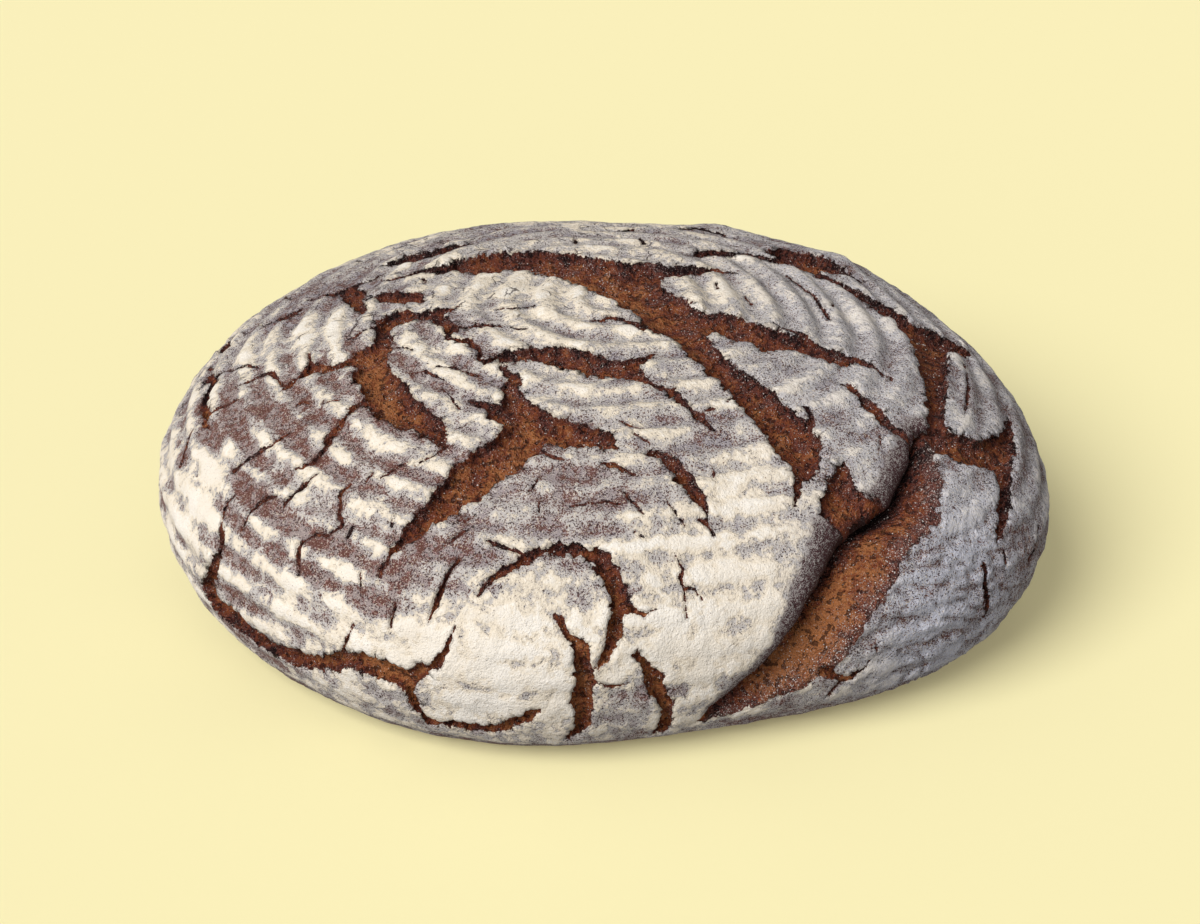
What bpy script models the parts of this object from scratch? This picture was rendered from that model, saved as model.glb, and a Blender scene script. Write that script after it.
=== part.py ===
"""Rye bread loaf: one hearth-baked round with a torn, floured crust.

The crust is laid out on a flat skin map: X to the right, Y to the back, and the distance from the
middle of the map is the length run over the crust from the crown.  Tears are paths on that map.
"""
import math

import bmesh
import bpy
import numpy as np

# ---- loaf form, metres -------------------------------------------------------------------------
LOAF_HEIGHT = 0.098          # crown above the table
EQUATOR_HEIGHT = 0.036       # level of the widest outline
BASE_SHARE = 0.82            # flat base radius as a share of the widest radius
SHOULDER_POWER = 0.95        # below 1 the shoulder is fuller than an ellipse
MEAN_RADIUS = 0.1384         # mean widest radius
NOMINAL_RADIUS = 0.140       # radius the skin map is measured on
# outline harmonics: lobes, cosine share, sine share
OUTLINE = ((2, 0.065, -0.005), (3, 0.011, -0.007), (4, -0.011, -0.012), (5, -0.010, -0.011))

# ---- crust relief, metres ----------------------------------------------------------------------
RING_PITCH = 0.0112          # ridges left by the spiral coil of the proving basket
RING_HEIGHT = 0.0006
RING_START = 2.5             # turn of the coil where it starts, radians
RING_OFF_CENTRE = 2.0        # the coil's middle lies off the crown: to the right, and to the front
RING_OFF_FRONT = -0.95
TEAR_WALL = 0.0028           # width of a tear's sloping wall
TEAR_DEPTH_SHARE = 0.30      # depth of a tear for each unit of its width
TEAR_DEPTH_LIMIT = 0.0050
SPLIT_DEPTH = 0.0130         # the one great split, measured at the foot of its high slab
SLAB_EDGE = 0.0090           # rounded edge of the slab above the great split
RIM_FADE = 0.006             # relief fades out below this height so the base stays flat

GRID_CELLS = 150             # cells along one side of the skin map before thinning
FACE_LIMIT = 9400            # triangles kept after thinning

CRUST_COLOUR = (0.60, 0.48, 0.38, 1.0)
CRUST_ROUGHNESS = 0.88

MM = 0.001

# ---- tears on the skin map, millimetres: x, y, width -------------------------------------------
TEARS = {
    "crown_diagonal": (
        (-63, 26, 2), (-56, 27, 7), (-50, 27, 12), (-43, 28, 17), (-36, 28, 23), (-28, 29, 18),
        (-20, 27, 23), (-11, 23, 25), (-1, 17, 27), (8, 8, 27), (14, -3, 22), (20, -11, 20),
        (26, -21, 16), (30, -30, 12), (35, -39, 11), (41, -46, 12), (47, -53, 13), (53, -61, 15),
        (59, -69, 17), (63, -77, 16), (65, -84, 10), (65, -88, 5)),
    "crown_fork": ((10, 20, 14), (18, 19, 14), (25, 18, 13), (32, 20, 9), (38, 21, 6)),
    "right_branch": (
        (24, -12, 12), (32, -15, 12), (40, -18, 14), (48, -22, 15), (56, -23, 12), (64, -25, 10),
        (72, -27, 9), (78, -26, 5)),
    "middle_band": (
        (-36, -41, 4), (-29, -39, 9), (-20, -38, 11), (-11, -42, 13), (0, -48, 13), (7, -51, 12),
        (13, -54, 8), (19, -58, 5), (25, -62, 7), (29, -67, 6), (34, -72, 5)),
    "front_fork_top": ((-29, -55, 6), (-27, -61, 9), (-24, -68, 13), (-20, -76, 16)),
    "front_fork_right": ((-20, -76, 16), (-12, -79, 14), (-4, -82, 11), (2, -85, 8)),
    "front_fork_left": (
        (-24, -80, 18), (-31, -87, 18), (-39, -93, 17), (-46, -99, 15), (-53, -104, 11),
        (-59, -109, 8), (-65, -113, 4)),
    "left_wide": (
        (-66, -6, 9), (-67, -14, 7), (-67, -22, 7), (-69, -30, 10), (-70, -38, 14), (-67, -46, 14),
        (-65, -53, 14), (-60, -61, 14), (-54, -67, 11), (-49, -74, 7)),
    "left_wide_top": ((-69, -6, 6), (-63, -7, 11), (-56, -8, 9), (-50, -8, 6), (-46, -18, 6)),
    "left_wide_arm": ((-95, -29, 5), (-90, -26, 7), (-84, -28, 6), (-77, -28, 7), (-71, -26, 9)),
    "back_left_patch": ((-70, 43, 8), (-63, 44, 14), (-56, 46, 12), (-49, 49, 8)),
    "back_left_pit": ((-71, 12, 6), (-66, 10, 10), (-60, 6, 11)),
    "back_left_hook": ((-86, 25, 6), (-81, 20, 10), (-79, 14, 9), (-76, 6, 5)),
    "left_rim": ((-131, 2, 5), (-127, -5, 7), (-129, -12, 6), (-130, -19, 6), (-128, -26, 5)),
    "foot_left": (
        (-150, -88, 12), (-146, -97, 12), (-140, -104, 12), (-135, -113, 10), (-129, -121, 9),
        (-122, -128, 9), (-114, -133, 9), (-106, -137, 8), (-98, -139, 8), (-90, -141, 8),
        (-82, -145, 9), (-76, -149, 10), (-70, -153, 9), (-63, -152, 7), (-57, -151, 5)),
    "foot_left_drop": ((-72, -152, 8), (-72, -160, 6), (-72, -167, 6), (-72, -172, 6)),
    "front_arch": (
        (-26, -126, 4), (-20, -124, 5), (-12, -124, 6), (-5, -124, 6), (0, -127, 7), (4, -132, 8),
        (7, -138, 8), (7, -145, 8), (5, -151, 7), (3, -156, 5)),
    "front_upright": (
        (-12, -147, 3), (-8, -151, 4), (-6, -156, 7), (-5, -162, 9), (-5, -169, 10), (-6, -176, 9),
        (-7, -182, 8)),
    "front_right": ((13, -156, 4), (17, -160, 6), (20, -164, 8), (24, -169, 8), (28, -174, 7), (30, -180, 7)),
    "front_slot": ((16, -90, 3), (20, -91, 5), (24, -93, 7), (28, -98, 8), (32, -103, 7), (34, -108, 4)),
    "slab_pocket": ((76, -78, 6), (76, -84, 8), (76, -91, 11), (75, -98, 10)),
    "slab_pocket_foot": ((80, -90, 8), (86, -88, 6), (91, -86, 6)),
    "back_right_patch": ((55, 42, 5), (62, 45, 8), (68, 46, 15), (74, 45, 15), (79, 50, 8)),
    "right_sweep": (
        (74, 34, 5), (80, 29, 6), (88, 25, 7), (95, 18, 11), (102, 10, 16), (106, 0, 17),
        (105, -10, 14), (103, -20, 12), (102, -30, 10), (101, -40, 9), (100, -48, 10), (98, -56, 10)),
    "right_sweep_back": ((104, 8, 18), (112, 10, 18), (119, 12, 14), (125, 16, 8)),
    "right_cross": ((101, -53, 12), (108, -53, 13), (116, -51, 13), (123, -47, 15), (127, -39, 10), (130, -30, 6)),
    "right_drop": ((125, -50, 10), (126, -58, 9), (127, -66, 7), (127, -73, 5)),
}
GREAT_SPLIT = (
    (98, -55, 9), (98, -62, 10), (98, -75, 15), (97, -85, 16), (94, -93, 17), (90, -100, 19),
    (88, -110, 22), (86, -120, 22), (84, -130, 23), (82, -140, 24), (78, -150, 22), (74, -157, 19),
    (67, -165, 15), (61, -172, 12), (53, -178, 7))


def smooth(value):
    """Smooth step from 0 to 1 over the range 0 to 1."""
    value = np.clip(value, 0.0, 1.0)
    return value * value * (3.0 - 2.0 * value)


def profile(turn):
    """Share of the radius and height along the side: turn 0 crown, 1 widest outline, 2 base edge."""
    upper = np.clip(turn, 0.0, 1.0) * math.pi / 2
    lower = np.clip(turn - 1.0, 0.0, 1.0) * math.pi / 2
    share = np.where(turn <= 1.0, np.sin(upper) ** SHOULDER_POWER, BASE_SHARE + (1 - BASE_SHARE) * np.cos(lower))
    rise = EQUATOR_HEIGHT + (LOAF_HEIGHT - EQUATOR_HEIGHT) * np.cos(upper)
    height = np.where(turn <= 1.0, rise, EQUATOR_HEIGHT * (1.0 - np.sin(lower)))
    return share, height


TURNS = np.linspace(0.0, 2.0, 2001)
SHARES, HEIGHTS = profile(TURNS)
RUN = np.concatenate(([0.0], np.cumsum(np.hypot(np.diff(SHARES * NOMINAL_RADIUS), np.diff(HEIGHTS)))))
SKIN_RADIUS = float(RUN[-1])


def outline(angle):
    """Widest radius of the loaf in a direction."""
    radius = np.ones_like(angle)
    for lobes, cosine, sine in OUTLINE:
        radius = radius + cosine * np.cos(lobes * angle) + sine * np.sin(lobes * angle)
    return MEAN_RADIUS * radius


def form(x, y):
    """Smooth loaf surface over the skin map."""
    angle = np.arctan2(y, x)
    share, height = profile(np.interp(np.hypot(x, y), RUN, TURNS))
    reach = share * outline(angle)
    return np.stack((reach * np.cos(angle), reach * np.sin(angle), height), axis=-1)


def form_normal(x, y, step=0.0008):
    """Outward direction of the smooth surface by central differences."""
    along_x = form(x + step, y) - form(x - step, y)
    along_y = form(x, y + step) - form(x, y - step)
    normal = np.cross(along_x, along_y)
    return normal / np.linalg.norm(normal, axis=-1, keepdims=True)


def path_distance(x, y, path):
    """Distance outside a path's edge, its width there, and the side: positive on the path's left."""
    gap = np.full(x.shape, 1.0)
    width = np.zeros(x.shape)
    side = np.zeros(x.shape)
    for (ax, ay, aw), (bx, by, bw) in zip(path[:-1], path[1:]):
        ax, ay, aw, bx, by, bw = (value * MM for value in (ax, ay, aw, bx, by, bw))
        dx, dy = bx - ax, by - ay
        length = dx * dx + dy * dy
        along = np.clip(((x - ax) * dx + (y - ay) * dy) / length, 0.0, 1.0)
        off_x, off_y = x - ax - along * dx, y - ay - along * dy
        here = aw + (bw - aw) * along
        distance = np.hypot(off_x, off_y) - here / 2
        nearer = distance < gap
        gap = np.where(nearer, distance, gap)
        width = np.where(nearer, here, width)
        side = np.where(nearer, (dx * off_y - dy * off_x) / math.sqrt(length), side)
    return gap, width, side


def relief(x, y):
    """Height added to the smooth form: basket ridges, less the tears and the great split."""
    run = np.hypot(x, y)
    angle = np.arctan2(y, x)
    coil = RING_START + angle + RING_OFF_CENTRE * np.cos(angle) + RING_OFF_FRONT * np.sin(angle)
    rings = RING_HEIGHT * np.cos(2 * math.pi * run / RING_PITCH - coil)
    depth = np.zeros(x.shape)
    for path in TEARS.values():
        gap, width, _ = path_distance(x, y, path)
        floor = np.minimum(TEAR_DEPTH_LIMIT, TEAR_DEPTH_SHARE * width)
        depth = np.maximum(depth, floor * smooth(0.5 - gap / TEAR_WALL))
    gap, width, side = path_distance(x, y, GREAT_SPLIT)
    across = np.clip(0.5 + side / np.maximum(width, MM), 0.0, 1.0)
    foot = SPLIT_DEPTH * smooth(width / (15 * MM))
    trough = foot * (1.0 - smooth(across) ** 0.8) * (gap <= 0)
    edge = np.clip(1.0 - gap / SLAB_EDGE, 0.0, 1.0)
    rounded = foot * (1.0 - np.sqrt(np.clip(1.0 - edge * edge, 0.0, 1.0))) * ((gap > 0) & (side < 0))
    depth = np.maximum(depth, np.maximum(trough, rounded))
    return rings * (1.0 - smooth(depth / (2 * MM))) - depth


def disc_grid(cells):
    """Square grid bent onto the unit disc: point arrays and the quads joining them."""
    line = np.linspace(-1.0, 1.0, cells + 1)
    u, v = np.meshgrid(line, line)
    radius = np.maximum(np.abs(u), np.abs(v))
    wide = np.abs(u) >= np.abs(v)
    safe_u = np.where(u == 0, 1.0, u)
    safe_v = np.where(v == 0, 1.0, v)
    angle = np.where(wide, math.pi / 4 * v / safe_u, math.pi / 2 - math.pi / 4 * u / safe_v)
    sign = np.where(wide, np.where(u < 0, -1.0, 1.0), np.where(v < 0, -1.0, 1.0))
    index = np.arange((cells + 1) ** 2).reshape(cells + 1, cells + 1)
    corners = (index[:-1, :-1], index[:-1, 1:], index[1:, 1:], index[1:, :-1])
    quads = np.stack([corner.ravel() for corner in corners], axis=-1)
    return (sign * radius * np.cos(angle)).ravel(), (sign * radius * np.sin(angle)).ravel(), quads


def loaf_mesh():
    """Crust over the whole skin map closed by a flat base."""
    u, v, quads = disc_grid(GRID_CELLS)
    x, y = u * SKIN_RADIUS, v * SKIN_RADIUS
    points = form(x, y)
    fade = smooth(points[:, 2] / RIM_FADE)
    points = points + form_normal(x, y) * (relief(x, y) * fade)[:, None]
    points[:, 2] = np.maximum(points[:, 2], 0.0)

    rim = np.hypot(u, v) > 1.0 - 1e-9
    base_number = np.where(rim, np.arange(len(u)), 0)
    inner = np.flatnonzero(~rim)
    base_number[inner] = len(u) + np.arange(len(inner))
    angle = np.arctan2(v[inner], u[inner])
    reach = np.hypot(u[inner], v[inner]) * BASE_SHARE * outline(angle)
    base = np.stack((reach * np.cos(angle), reach * np.sin(angle), np.zeros(len(inner))), axis=-1)
    points[rim, 2] = 0.0
    everything = np.concatenate((points, base))
    faces = [tuple(int(n) for n in quad) for quad in quads]
    faces += [tuple(int(n) for n in base_number[quad][::-1]) for quad in quads]
    mesh = bpy.data.meshes.new("loaf")
    mesh.from_pydata([tuple(float(c) for c in point) for point in everything], [], faces)
    mesh.update()
    return mesh


def thin_out(loaf):
    """Keep the triangles where the crust bends and drop them where it is plain."""
    triangles = sum(len(polygon.vertices) - 2 for polygon in loaf.data.polygons)
    thinner = loaf.modifiers.new("thin_out", "DECIMATE")
    thinner.ratio = FACE_LIMIT / triangles
    graph = bpy.context.evaluated_depsgraph_get()
    thinned = bpy.data.meshes.new_from_object(loaf.evaluated_get(graph))
    loaf.modifiers.clear()
    loaf.data = thinned


def settle(loaf):
    """Triangulate, face outward, and put the middle of the base box on the origin."""
    work = bmesh.new()
    work.from_mesh(loaf.data)
    bmesh.ops.triangulate(work, faces=work.faces[:])
    bmesh.ops.recalc_face_normals(work, faces=work.faces[:])
    work.to_mesh(loaf.data)
    work.free()
    places = np.array([tuple(vertex.co) for vertex in loaf.data.vertices])
    low, high = places.min(axis=0), places.max(axis=0)
    shift = np.array(((low[0] + high[0]) / 2, (low[1] + high[1]) / 2, low[2]))
    for vertex, place in zip(loaf.data.vertices, places - shift):
        vertex.co = place
    loaf.data.update()


def crust_material():
    """Baked, floured rye crust."""
    material = bpy.data.materials.new("crust")
    material.use_nodes = True
    shader = material.node_tree.nodes["Principled BSDF"]
    shader.inputs["Base Color"].default_value = CRUST_COLOUR
    shader.inputs["Roughness"].default_value = CRUST_ROUGHNESS
    shader.inputs["Metallic"].default_value = 0.0
    return material


def build():
    for old in list(bpy.data.objects):
        bpy.data.objects.remove(old, do_unlink=True)
    loaf = bpy.data.objects.new("loaf", loaf_mesh())
    bpy.context.scene.collection.objects.link(loaf)
    thin_out(loaf)
    settle(loaf)
    loaf.data.materials.clear()
    loaf.data.materials.append(crust_material())


build()
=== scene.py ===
import math
from types import SimpleNamespace

import bpy
import numpy as np
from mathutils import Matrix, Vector
from mathutils.geometry import delaunay_2d_cdt


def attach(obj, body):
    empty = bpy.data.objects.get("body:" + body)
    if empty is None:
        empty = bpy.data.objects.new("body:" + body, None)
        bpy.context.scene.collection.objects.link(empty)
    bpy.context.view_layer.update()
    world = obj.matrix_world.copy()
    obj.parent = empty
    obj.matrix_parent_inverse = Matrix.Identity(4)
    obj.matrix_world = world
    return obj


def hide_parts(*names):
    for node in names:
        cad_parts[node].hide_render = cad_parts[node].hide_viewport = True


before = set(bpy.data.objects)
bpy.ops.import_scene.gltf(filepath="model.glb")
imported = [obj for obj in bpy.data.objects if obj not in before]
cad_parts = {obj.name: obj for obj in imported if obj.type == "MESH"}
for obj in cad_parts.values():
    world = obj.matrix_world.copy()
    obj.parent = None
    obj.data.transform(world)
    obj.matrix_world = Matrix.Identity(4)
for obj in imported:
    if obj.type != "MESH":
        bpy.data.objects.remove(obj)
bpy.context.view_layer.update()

# ---- loaf form, metres -------------------------------------------------------------------------
LOAF_HEIGHT = 0.098
EQUATOR_HEIGHT = 0.036
BASE_SHARE = 0.82
SHOULDER_POWER = 0.95
MEAN_RADIUS = 0.1384
NOMINAL_RADIUS = 0.140
OUTLINE = ((2, 0.065, -0.005), (3, 0.011, -0.007), (4, -0.011, -0.012), (5, -0.010, -0.011))
CENTRE = (0.00069, -0.00095)         # middle of the base box, which sits on the origin

# ---- crust, millimetres on the skin map --------------------------------------------------------
CELL = 0.4                           # step of the relief map
FINE_STEP = 0.79                     # mesh spacing along a tear's edge
RING_PITCH = 11.56
RING_STRETCH = 0.45
TEAR_DEPTH_LIMIT = 5.4
SPLIT_DEPTH = 15.0
WALL = 0.8                           # width of a tear's steep wall
RIM_POINTS = 720
MERGE = 1e-6                         # points nearer than this would be one
RIM_FADE = 7.0                       # height over which the relief dies out at the base
NORMAL_STEP = 0.8                    # half the span of a difference on the form
SLOPE_STEP = 0.25                    # and on the fields
TEAR_REACH = 14.0                    # a tear is looked for this far from its edge
GAP_LIMIT = 12.0
SLAB_EDGE = (                        # y, width of the slab's rounded edge
    (-178, 7), (-165, 8), (-150, 8), (-130, 10), (-110, 12.5), (-98, 13.5), (-90, 8))
SLAB_FACING = ((-178, -50), (-160, -39), (-135, -22), (-110, -12), (-75, 0))   # y, degrees from +X
BASE_RINGS = (0.985, 0.95, 0.87, 0.72, 0.5, 0.25)   # shares of the way out from the base's middle
SPECK_TRIES = 120000                 # places tried for grains of loose flour
SPECK_SIZES = (0.12, 0.28)
SPECK_STRETCH = (0.7, 1.4)
SEED = 11

# ---- tears on the skin map, millimetres: x, y, width -------------------------------------------
TEARS = {
    "crown_diagonal": (
        (-63, 26, 2), (-56, 27, 7), (-50, 27, 12), (-43, 28, 17), (-36, 28, 23), (-28, 29, 18),
        (-20, 27, 23), (-11, 23, 25), (-1, 17, 27), (8, 8, 27), (14, -3, 22), (20, -11, 20),
        (26, -21, 16), (30, -30, 12), (35, -39, 11), (41, -46, 12), (47, -53, 13), (53, -61, 15),
        (59, -69, 17), (63, -77, 16), (65, -84, 10), (65, -88, 5), (64, -94, 3.5), (64, -101, 1)),
    "crown_fork": ((10, 20, 14), (18, 19, 14), (25, 18, 13), (32, 20, 9), (38, 21, 6), (45, 21, 1.5)),
    "right_branch": (
        (24, -12, 12), (32, -15, 12), (40, -18, 14), (48, -22, 15), (56, -23, 12), (64, -25, 10),
        (72, -27, 9), (78, -26, 5), (83, -28, 3), (87, -31.5, 1.5)),
    "tongue": ((-2, -21, 1.5), (5, -20.5, 2.5), (11, -22, 4), (16, -24, 8), (22, -24, 10)),
    "middle_band": (
        (-36, -41, 4), (-29, -39, 9), (-20, -38.5, 11), (-11, -42, 13), (0, -48.5, 13), (7, -51, 12),
        (13, -54, 8), (19, -58, 4), (21, -60, 2.5)),
    "middle_up": ((8, -49, 8), (14, -46.5, 6), (18, -43, 3), (20, -40.5, 1)),
    "middle_low": ((21, -59, 4), (25, -62, 6.5), (29, -67, 6), (34, -72, 4.5), (38, -77, 1)),
    "middle_patch": ((-31, -45, 3), (-28, -48, 5), (-25, -53, 3.5), (-25, -55, 1.5)),
    "fork_top": ((-29, -55, 6), (-27, -61, 9), (-24, -68, 13), (-20, -76, 16)),
    "fork_right": ((-20, -76, 16), (-12, -79, 14), (-4, -82, 11), (2, -85, 8), (6, -88, 2)),
    "fork_left": (
        (-24, -80, 18), (-31, -87, 18), (-39, -93, 17), (-46, -99, 15), (-53, -104, 11),
        (-59, -109, 8), (-65, -113, 4), (-68, -117, 2.5), (-71, -121, 1)),
    "fork_arm": ((-40, -60, 1), (-36, -63, 4), (-32, -67, 7), (-28, -72, 8)),
    "left_wide": (
        (-66, -6, 9), (-67, -14, 7), (-67, -22, 7), (-69, -30, 10), (-70, -38, 14), (-67, -46, 14),
        (-65, -53, 14), (-60, -61, 14), (-54, -67, 11), (-49, -74, 7), (-47, -79, 2)),
    "left_wide_top": ((-69, -6, 6), (-63, -7, 11), (-56, -8, 9), (-50, -7, 6), (-44, -6, 2.5)),
    "left_wide_loop": (
        (-51, -9, 5), (-48, -14, 6), (-45, -20, 5), (-40, -19, 3.5), (-35, -19.5, 3.5), (-31, -21, 2)),
    "loop_drop": (
        (-47, -23, 3), (-45, -27, 2.5), (-41, -28, 3), (-38, -32, 4), (-37, -36, 2.5), (-36, -41, 2)),
    "left_wide_arm": (
        (-99, -33, 1.5), (-95, -29, 4), (-90, -26, 7), (-84, -28, 6), (-77, -28, 7), (-71, -26, 9)),
    "left_wide_low": (
        (-73, -51, 5), (-77, -54, 4), (-80, -58, 2.5), (-83, -63, 4), (-86, -68, 4.5), (-90, -71, 3),
        (-95, -72, 1)),
    "back_left_patch": ((-70, 43, 8), (-63, 44, 14), (-56, 46, 12), (-49, 49, 8), (-42, 50, 3)),
    "back_left_pit": ((-71, 12, 5), (-66, 10, 10), (-60, 6, 11), (-56, 2, 4)),
    "back_left_hook": (
        (-97, 28, 1.5), (-92, 26, 3), (-85, 25, 6), (-81, 20, 10), (-79, 14, 9), (-76, 6, 5), (-74, 0, 1.5)),
    "back_left_end": ((-112, 21, 2), (-107, 20, 4), (-103, 18, 6), (-99, 21, 2)),
    "left_rim": ((-131, 2, 4), (-127, -5, 7), (-129, -12, 6), (-130, -19, 5), (-128, -25, 5), (-127, -32, 2)),
    "left_edge_top": ((-134, 36, 4), (-130, 26, 6), (-126, 18, 4)),
    "foot_left_head": ((-150, -88, 12), (-142, -88, 10), (-134, -87, 7), (-128, -85, 6), (-125, -80, 3)),
    "foot_left": (
        (-152, -92, 10), (-146, -97, 12), (-140, -104, 12), (-135, -113, 10), (-129, -121, 9),
        (-122, -128, 9), (-114, -133, 9), (-106, -137, 8), (-98, -139, 8), (-90, -141, 8),
        (-82, -145, 9), (-76, -149, 10), (-70, -153, 9), (-63, -152, 7), (-57, -151, 5),
        (-52, -147, 3), (-47, -141, 1)),
    "foot_left_drop": ((-72, -152, 8), (-72, -160, 6), (-72, -167, 6), (-72, -172, 6)),
    "foot_front": (
        (-72, -172, 5), (-65, -174, 5), (-58, -176, 6), (-50, -179, 6), (-42, -180, 6), (-34, -178, 6),
        (-27, -175, 4), (-23, -174, 1.5)),
    "front_arch": (
        (-38, -133, 1), (-35, -130, 2.5), (-31, -127.5, 3.5), (-26, -126, 4), (-20, -123.5, 5),
        (-12, -123.5, 5.5), (-5, -124, 6), (0, -127, 7), (4, -132, 8), (7, -138, 8), (7, -145, 8),
        (5.5, -151, 7), (3, -156, 5), (0.5, -160, 2)),
    "front_upright": (
        (-14, -143, 1.5), (-12, -147, 3), (-8, -151, 4), (-6, -156, 7), (-5.5, -162, 9),
        (-5.5, -169, 9.5), (-6, -176, 9), (-7, -182, 8), (-10, -187, 6), (-14, -190, 4)),
    "front_right": (
        (13, -156, 3), (17, -160, 6), (20, -164, 8), (24, -169, 8), (28, -174, 7), (30, -180, 7),
        (30, -186, 8), (27, -191, 6)),
    "slab_slot": (
        (16, -90, 2), (20, -91, 5), (24, -93, 7), (28, -98, 8), (32, -103, 6.5), (34, -108, 4),
        (36, -112, 2.5), (39, -118, 1)),
    "slab_pocket": ((76, -78, 5), (76, -84, 8), (76, -91, 11), (75, -98, 10)),
    "slab_pocket_foot": ((80, -90, 8), (86, -87.5, 5), (91, -86, 5)),
    "right_plate": ((71, -40, 1), (76, -43, 3), (80, -47, 4.5), (85, -52, 6), (88, -56, 5.5), (91, -58, 3)),
    "back_right_patch": ((60, 48, 7), (67, 50, 19), (75, 49, 20), (83, 46, 12), (90, 42, 5)),
    "back_right_arm": ((55, 42, 5), (62, 39, 7), (69, 40, 12), (74, 37, 6)),
    "back_right_lead": ((30, 34, 3), (34, 36, 7), (40, 38, 9), (47, 40, 7), (53, 42, 6), (60, 39, 5)),
    "right_sweep": (
        (72, 37, 6), (80, 31, 8), (88, 26, 10), (95, 19, 13), (102, 10, 16), (106, 0, 17),
        (105, -10, 14), (103, -20, 12), (102.5, -30, 10), (101, -40, 8), (100, -48, 9), (98, -56, 10)),
    "right_sweep_back": ((104, 8, 18), (112, 10, 18), (119, 12, 14), (125, 16, 8), (129, 18, 4)),
    "right_cross": (
        (101, -53, 12), (108, -53, 13), (116, -51, 13), (123, -47, 15), (127, -39, 10), (130, -30, 6),
        (132, -22, 2)),
    "right_drop": ((125, -50, 10), (126, -58, 9), (127, -66, 7), (127, -73, 5), (127.5, -80, 2)),
    "right_low": ((124, -89, 1.5), (128, -91, 3), (131, -95, 5), (136, -96, 5), (141, -99, 1.5)),
    "split_foot": ((90, -149, 5), (97, -148.5, 3), (103, -147, 4), (105, -142, 3), (105, -138, 1.5)),
    "crown_back": ((-4, 86, 3), (2, 87, 5), (10, 85, 3)),
    "crown_back_right": ((32, 76, 5), (37, 77, 8), (44, 70, 5), (46, 66, 2)),
    "crown_back_middle": ((7, 68, 4), (11, 67, 9), (13, 71, 3)),
}
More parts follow.
